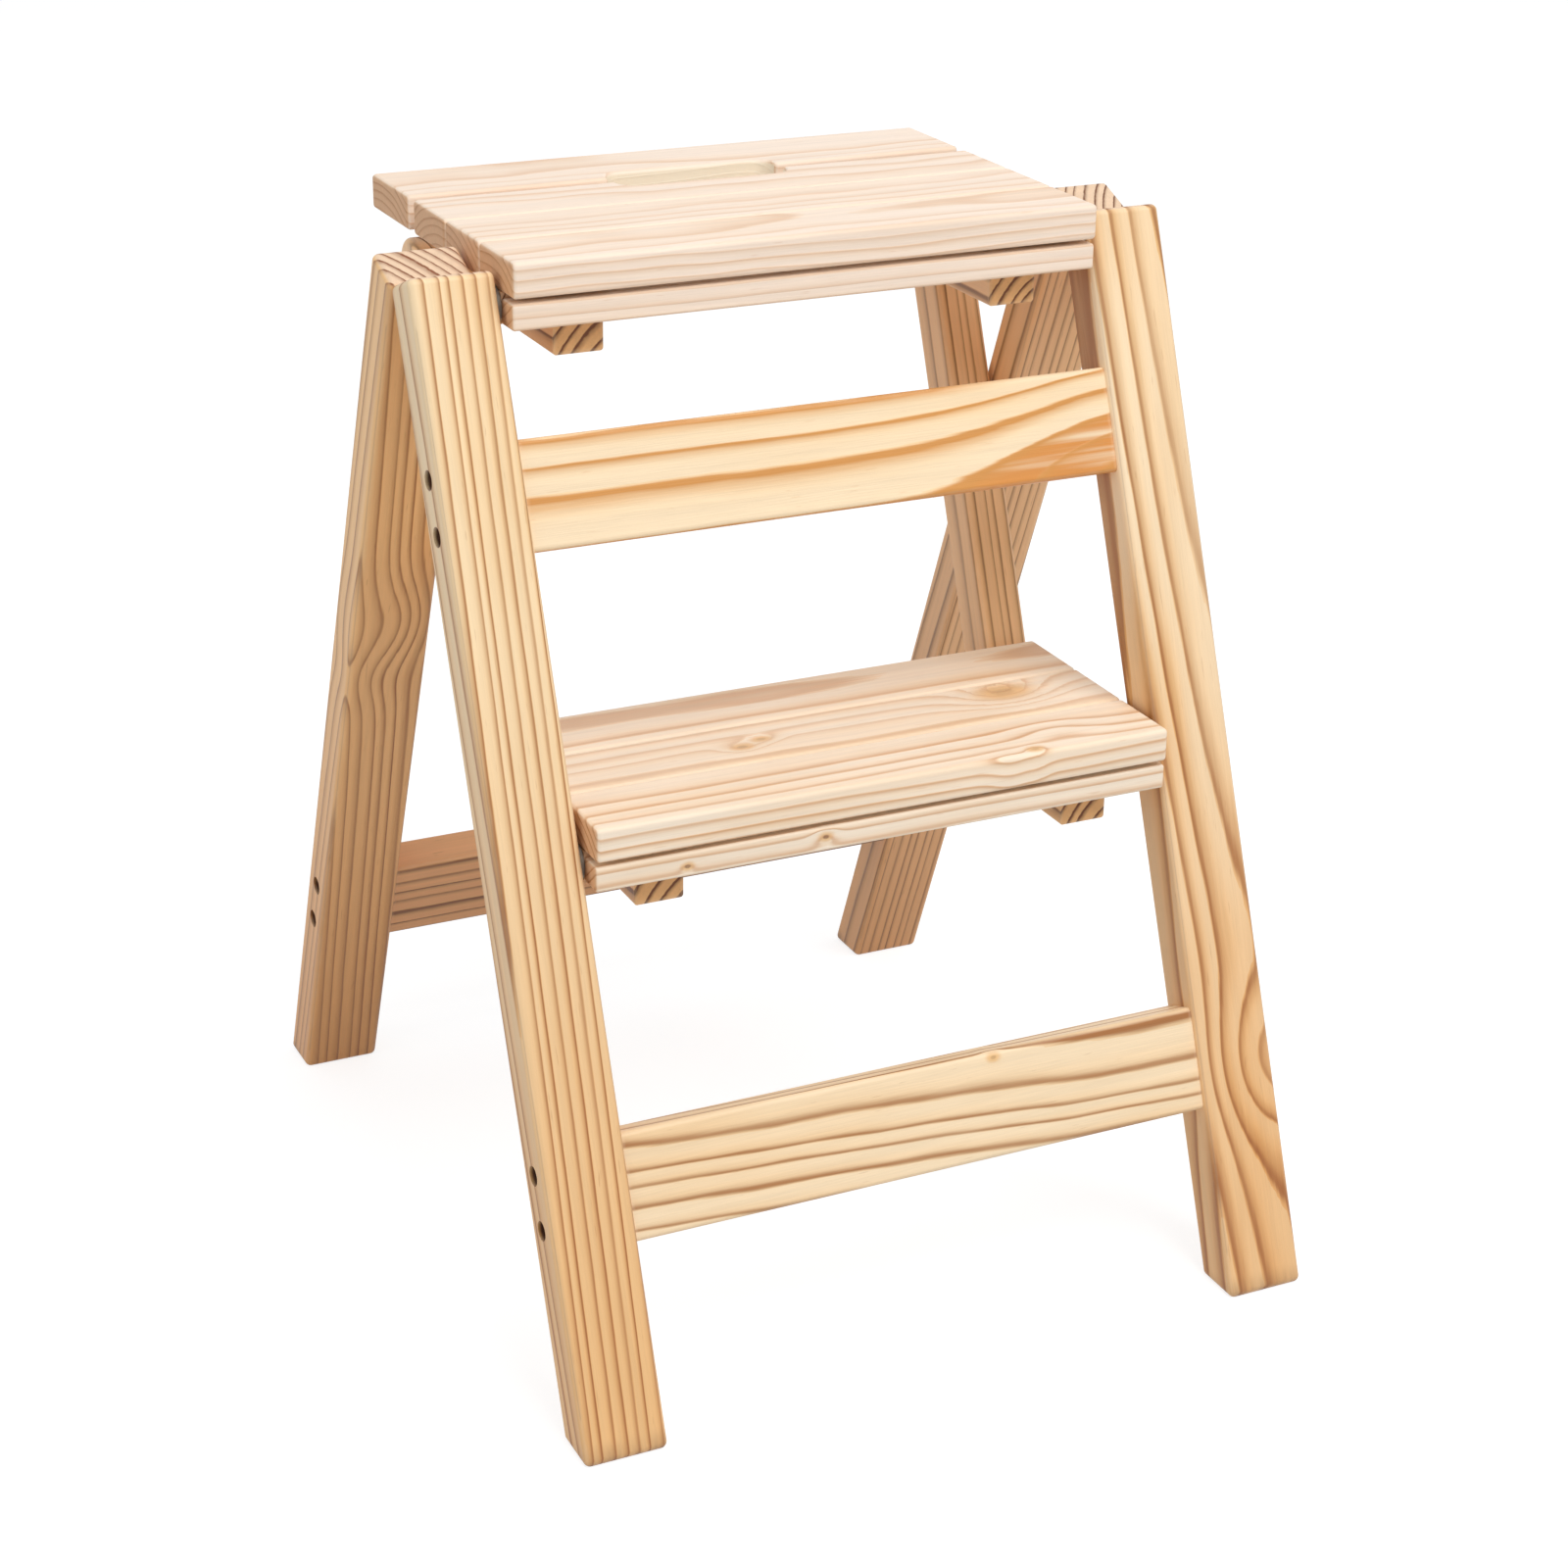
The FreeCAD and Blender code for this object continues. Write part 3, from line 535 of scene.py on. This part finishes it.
def plated_wear():
    """Spangle, dull patches and fine scratches of old zinc plate."""
    tree, b, given, out = new_group(
        "Plated Wear", [("Place", "v"), ("Tone", "c"), ("Seed", "f")],
        [("Colour", "c"), ("Roughness", "f"), ("Height", "f")])
    place = b.vector("ADD", given["Place"], b.joined(given["Seed"], 0.0, 0.0))
    dull = b.noise(place, 260.0, 3.0).outputs["Fac"]
    grain = b.noise(b.vector("MULTIPLY", place, BRUSH_SCALE), 1.0, 2.0).outputs["Fac"]
    tone = b.maths("MULTIPLY_ADD", dull, 0.5, 0.55)
    b.feed(out["Colour"], b.colour(1.0, given["Tone"], b.joined(tone, tone, tone), "MULTIPLY"))
    b.feed(out["Roughness"], b.maths("MULTIPLY_ADD", dull, 0.30, 0.28))
    b.feed(out["Height"], grain)
    return tree


def zinc_material():
    material = bpy.data.materials.new("zinc_plate")
    material.use_nodes = True
    material.node_tree.nodes.clear()
    b = Bench(material.node_tree)
    place = b.node("ShaderNodeTexCoord").outputs["Object"]
    worn = b.group(plated_wear(), Place=place, Tone=ZINC_TONE, Seed=3.0)
    bump = b.node("ShaderNodeBump")
    bump.inputs["Strength"].default_value = 0.3
    bump.inputs["Distance"].default_value = ZINC_BUMP_DEPTH
    b.feed(bump.inputs["Height"], worn["Height"])
    shader = b.node("ShaderNodeBsdfPrincipled")
    shader.inputs["Metallic"].default_value = 1.0
    b.feed(shader.inputs["Base Color"], worn["Colour"])
    b.feed(shader.inputs["Roughness"], worn["Roughness"])
    b.feed(shader.inputs["Normal"], bump.outputs[0])
    b.feed(b.node("ShaderNodeOutputMaterial").inputs["Surface"], shader.outputs[0])
    return material


# Hardware sizes, as in the solids
BOLT = {"Head Radius": 0.0065, "Head Height": 0.0045, "Chamfer": 0.0006, "Shank Radius": 0.004,
        "Recess Bars": 3, "Bar Width": 0.005, "Bar Length": 0.005 / math.sqrt(3), "Recess Depth": 0.0025}
SCREW = {"Head Radius": 0.0041, "Head Height": 0.003, "Chamfer": 0.0004, "Shank Radius": 0.0021,
         "Recess Bars": 1, "Bar Width": 0.0014, "Bar Length": 0.0100, "Recess Depth": 0.0012}


ROUND_SIDES = 32


def fastener_tree():
    """A headed fastener on every point: a chamfered head, a recess made of crossed bars and a shank."""
    tree = bpy.data.node_groups.new("Fasteners", "GeometryNodeTree")
    tree.interface.new_socket("Geometry", in_out="INPUT", socket_type="NodeSocketGeometry")
    for label in ("Head Radius", "Head Height", "Chamfer", "Shank Radius", "Shank Length", "Bar Width",
                  "Bar Length", "Recess Depth"):
        tree.interface.new_socket(label, in_out="INPUT", socket_type="NodeSocketFloat")
    for label in ("Recess Bars", "Seed"):
        tree.interface.new_socket(label, in_out="INPUT", socket_type="NodeSocketInt")
    tree.interface.new_socket("Material", in_out="INPUT", socket_type="NodeSocketMaterial")
    tree.interface.new_socket("Geometry", in_out="OUTPUT", socket_type="NodeSocketGeometry")
    b = Bench(tree)
    given = b.node("NodeGroupInput").outputs

    def drum(top_radius, bottom_radius, depth, base):
        cone = b.node("GeometryNodeMeshCone")
        cone.inputs["Vertices"].default_value = ROUND_SIDES
        b.feed(cone.inputs["Radius Top"], top_radius)
        b.feed(cone.inputs["Radius Bottom"], bottom_radius)
        b.feed(cone.inputs["Depth"], depth)
        moved = b.node("GeometryNodeTransform")
        b.feed(moved.inputs["Geometry"], cone.outputs["Mesh"])
        b.feed(moved.inputs["Translation"], b.joined(0.0, 0.0, base))
        return moved.outputs[0]

    chamfer_base = b.maths("MULTIPLY", given["Chamfer"], -1.0)
    head_base = b.maths("MULTIPLY", given["Head Height"], -1.0)
    side = b.maths("SUBTRACT", given["Head Height"], given["Chamfer"])
    cap = drum(b.maths("SUBTRACT", given["Head Radius"], given["Chamfer"]), given["Head Radius"],
               given["Chamfer"], chamfer_base)
    skirt = drum(given["Head Radius"], given["Head Radius"], side, head_base)
    shank_base = b.maths("SUBTRACT", head_base, given["Shank Length"])
    shank = drum(given["Shank Radius"], given["Shank Radius"], given["Shank Length"], shank_base)
    whole = b.node("GeometryNodeMeshBoolean", operation="UNION", solver="EXACT")
    for part in (cap, skirt, shank):
        b.feed(whole.inputs["Mesh 2"], part)
    bar = b.node("GeometryNodeMeshCube")
    depth = b.maths("MULTIPLY", given["Recess Depth"], 2.0)
    b.feed(bar.inputs["Size"], b.joined(given["Bar Length"], given["Bar Width"], depth))
    spots = b.node("GeometryNodePoints")
    b.feed(spots.inputs["Count"], given["Recess Bars"])
    step = b.maths("DIVIDE", math.pi, given["Recess Bars"])
    turn = b.joined(0.0, 0.0, b.maths("MULTIPLY", b.node("GeometryNodeInputIndex").outputs[0], step))
    bars = b.node("GeometryNodeInstanceOnPoints")
    b.feed(bars.inputs["Points"], spots.outputs[0])
    b.feed(bars.inputs["Instance"], bar.outputs["Mesh"])
    b.feed(bars.inputs["Rotation"], turn)
    solid_bars = b.node("GeometryNodeRealizeInstances")
    b.feed(solid_bars.inputs["Geometry"], bars.outputs[0])
    cut = b.node("GeometryNodeMeshBoolean", operation="DIFFERENCE", solver="EXACT")
    b.feed(cut.inputs["Mesh 1"], whole.outputs["Mesh"])
    b.feed(cut.inputs["Mesh 2"], solid_bars.outputs[0])
    cut.inputs["Self Intersection"].default_value = True
    aim = b.node("GeometryNodeInputNamedAttribute", data_type="FLOAT_VECTOR")
    aim.inputs["Name"].default_value = "aim"
    aligned = b.node("FunctionNodeAlignRotationToVector", axis="Z")
    b.feed(aligned.inputs["Vector"], aim.outputs["Attribute"])
    loose = b.node("FunctionNodeRandomValue", data_type="FLOAT")
    for socket in loose.inputs:
        if socket.name == "Max" and socket.type == "VALUE" and socket.enabled:
            socket.default_value = math.pi
        if socket.name == "Seed":
            b.feed(socket, given["Seed"])
    spin = b.node("FunctionNodeRotateRotation", rotation_space="LOCAL")
    b.feed(spin.inputs["Rotation"], aligned.outputs[0])
    angle = [socket for socket in loose.outputs if socket.enabled and socket.type == "VALUE"][0]
    b.feed(spin.inputs["Rotate By"], b.joined(0.0, 0.0, angle))
    placed = b.node("GeometryNodeInstanceOnPoints")
    b.feed(placed.inputs["Points"], given["Geometry"])
    b.feed(placed.inputs["Instance"], cut.outputs["Mesh"])
    b.feed(placed.inputs["Rotation"], spin.outputs[0])
    real = b.node("GeometryNodeRealizeInstances")
    b.feed(real.inputs["Geometry"], placed.outputs[0])
    coated = b.node("GeometryNodeSetMaterial")
    b.feed(coated.inputs["Geometry"], real.outputs[0])
    b.feed(coated.inputs["Material"], given["Material"])
    b.feed(b.node("NodeGroupOutput").inputs[0], coated.outputs[0])
    return tree


def separate_boxes(node):
    """The lowest and highest corner of each solid in a CAD node."""
    welded = bmesh.new()
    welded.from_mesh(nodes[node].data)
    bmesh.ops.remove_doubles(welded, verts=welded.verts, dist=0.00001)
    waiting = set(welded.verts)
    found = []
    while waiting:
        group, front = [], [waiting.pop()]
        while front:
            vertex = front.pop()
            group.append(vertex.co.copy())
            for edge in vertex.link_edges:
                other = edge.other_vert(vertex)
                if other in waiting:
                    waiting.remove(other)
                    front.append(other)
        found.append((Vector([min(p[i] for p in group) for i in range(3)]),
                      Vector([max(p[i] for p in group) for i in range(3)])))
    welded.free()
    return found


def fasteners(node, body, tree, sizes, material, axis, heads_out, seed):
    """Replaces one group of screws or bolts. Heads look out from the middle, in to it, or down."""
    places, aims, length = [], [], 0.0
    for low, high in separate_boxes(node):
        middle = (low + high) / 2
        side = -1.0 if axis == 2 else math.copysign(1.0, middle[axis]) * (1.0 if heads_out else -1.0)
        aim = Vector((0, 0, 0))
        aim[axis] = side
        middle[axis] = high[axis] if side > 0 else low[axis]
        places.append(middle)
        aims.append(aim)
        length = high[axis] - low[axis]
    points = bpy.data.meshes.new(node + "_places")
    points.from_pydata(places, [], [])
    stored = points.attributes.new("aim", "FLOAT_VECTOR", "POINT")
    for item, aim in zip(stored.data, aims):
        item.vector = aim
    holder = bpy.data.objects.new(node + "_holder", points)
    bpy.context.scene.collection.objects.link(holder)
    modifier = holder.modifiers.new("fasteners", "NODES")
    modifier.node_group = tree
    wanted = {**sizes, "Shank Length": length - sizes["Head Height"], "Seed": seed, "Material": material}
    for item in tree.interface.items_tree:
        if item.in_out == "INPUT" and item.name in wanted:
            modifier[item.identifier] = wanted[item.name]
    shown = holder.evaluated_get(bpy.context.evaluated_depsgraph_get())
    mesh = bpy.data.meshes.new_from_object(shown)
    mesh.name = node + "_shown"
    bpy.data.objects.remove(holder)
    made = bpy.data.objects.new(node + "_shown", mesh)
    bpy.context.scene.collection.objects.link(made)
    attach(made, body)
    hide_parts(node)


def finish_hardware():
    zinc = zinc_material()
    tree = fastener_tree()
    x_axis, z_axis = 0, 2
    fasteners("front_rail_screws", "front_frame", tree, SCREW, zinc, x_axis, True, 1)
    fasteners("rear_rail_screws", "rear_frame", tree, SCREW, zinc, x_axis, True, 2)
    fasteners("seat_slat_screws", "seat", tree, SCREW, zinc, z_axis, False, 3)
    fasteners("step_board_screws", "step", tree, SCREW, zinc, z_axis, False, 4)
    fasteners("seat_pivot_bolts", "front_frame", tree, BOLT, zinc, x_axis, False, 5)
    fasteners("step_pivot_bolts", "front_frame", tree, BOLT, zinc, x_axis, False, 6)
    fasteners("strut_top_bolts", "seat", tree, BOLT, zinc, x_axis, False, 7)
    fasteners("strut_foot_bolts", "struts", tree, BOLT, zinc, x_axis, False, 8)
    fasteners("rear_pivot_bolts", "rear_frame", tree, BOLT, zinc, x_axis, False, 9)
    for node in ("seat_pivot_washers", "step_pivot_washers", "rear_pivot_washers"):
        nodes[node].data.materials.clear()
        nodes[node].data.materials.append(zinc)


def camera():
    """The camera of the photograph's view, as fitted to the stool."""
    back = Vector((-math.sin(CAMERA_YAW) * math.cos(CAMERA_DIP), -math.cos(CAMERA_YAW) * math.cos(CAMERA_DIP),
                   math.sin(CAMERA_DIP)))
    level = (-back).cross(UP).normalized()
    upward = level.cross(-back)
    right = math.cos(CAMERA_ROLL) * level + math.sin(CAMERA_ROLL) * upward
    above = math.cos(CAMERA_ROLL) * upward - math.sin(CAMERA_ROLL) * level
    data = bpy.data.cameras.new("camera")
    data.sensor_width = SENSOR_MM
    data.lens = FOCAL_PIXELS / PHOTO_SIDE * SENSOR_MM
    made = bpy.data.objects.new("camera", data)
    made.matrix_world = Matrix.Translation(CAMERA_PLACE) @ Matrix((right, above, back)).transposed().to_4x4()
    bpy.context.scene.collection.objects.link(made)
    bpy.context.scene.camera = made


def soft_light(name, place, aim, size, power):
    """A square soft light that looks at a point."""
    data = bpy.data.lights.new(name, "AREA")
    data.size = size
    data.energy = power
    made = bpy.data.objects.new(name, data)
    made.matrix_world = (Matrix.Translation(place)
                         @ (Vector(aim) - Vector(place)).to_track_quat("-Z", "Y").to_matrix().to_4x4())
    bpy.context.scene.collection.objects.link(made)


LIGHT_AIM = (0.0, 0.0, 0.25)
# Name, place, size in metres and power in watts
LIGHTS = (("front_light", (0.6, -1.9, 3.0), 2.2, 68.0),
          ("top_light", (0.2, 0.1, 2.9), 2.4, 6.0),
          ("left_light", (-2.6, -0.6, 1.3), 1.8, 10.0))
AMBIENT_TONE = (0.95, 0.97, 1.0, 1.0)
AMBIENT_STRENGTH = 0.46


def studio():
    """Soft light from the front, from above and from the left, in a pale room that shows as white."""
    for name, place, size, power in LIGHTS:
        soft_light(name, Vector(place), LIGHT_AIM, size, power)
    world = bpy.data.worlds.new("studio")
    bpy.context.scene.world = world
    world.use_nodes = True
    world.node_tree.nodes.clear()
    b = Bench(world.node_tree)
    path = b.node("ShaderNodeLightPath").outputs
    seen = b.maths("MAXIMUM", path["Is Camera Ray"], b.maths("MAXIMUM", path["Is Glossy Ray"],
                                                              path["Is Transmission Ray"]))
    ambient = b.node("ShaderNodeBackground")
    ambient.inputs["Color"].default_value = AMBIENT_TONE
    ambient.inputs["Strength"].default_value = AMBIENT_STRENGTH
    white = b.node("ShaderNodeBackground")
    white.inputs["Strength"].default_value = 1.0
    white.inputs["Color"].default_value = (1.0, 1.0, 1.0, 1.0)
    mixed = b.node("ShaderNodeMixShader")
    b.filled(mixed, (seen, ambient.outputs[0], white.outputs[0]))
    b.feed(b.node("ShaderNodeOutputWorld").inputs["Surface"], mixed.outputs[0])


FLOOR_REACH = 14.0
FLOOR_GLOW = 0.80
FLOOR_SHOWN = (0.38, 0.38, 0.38, 1.0)  # what the camera sees lit and shaded, on top of the glow
FLOOR_LIT = (0.68, 0.68, 0.68, 1.0)    # what throws light back at the stool


def floor():
    """A wide pale floor that shows white and keeps the stool's soft shadow."""
    reach = FLOOR_REACH
    mesh = bpy.data.meshes.new("floor")
    corners = [(-reach, -reach, 0), (reach, -reach, 0), (reach, reach, 0), (-reach, reach, 0)]
    mesh.from_pydata(corners, [], [(0, 1, 2, 3)])
    made = bpy.data.objects.new("floor", mesh)
    bpy.context.scene.collection.objects.link(made)
    material = bpy.data.materials.new("pale_floor")
    material.use_nodes = True
    material.node_tree.nodes.clear()
    b = Bench(material.node_tree)
    path = b.node("ShaderNodeLightPath").outputs
    seen = b.maths("MAXIMUM", path["Is Camera Ray"], path["Is Glossy Ray"])
    lit = b.node("ShaderNodeBsdfDiffuse")
    lit.inputs["Color"].default_value = FLOOR_LIT
    shaded = b.node("ShaderNodeBsdfDiffuse")
    shaded.inputs["Color"].default_value = FLOOR_SHOWN
    glow = b.node("ShaderNodeEmission")
    glow.inputs["Strength"].default_value = FLOOR_GLOW
    shown = b.node("ShaderNodeAddShader")
    b.filled(shown, (shaded.outputs[0], glow.outputs[0]))
    mixed = b.node("ShaderNodeMixShader")
    b.filled(mixed, (seen, lit.outputs[0], shown.outputs[0]))
    b.feed(b.node("ShaderNodeOutputMaterial").inputs["Surface"], mixed.outputs[0])
    mesh.materials.append(material)


camera()
studio()
floor()
finish_front_frame()
finish_rear_frame()
finish_platforms()
finish_struts()
finish_hardware()

bpy.context.scene.view_settings.view_transform = "Standard"
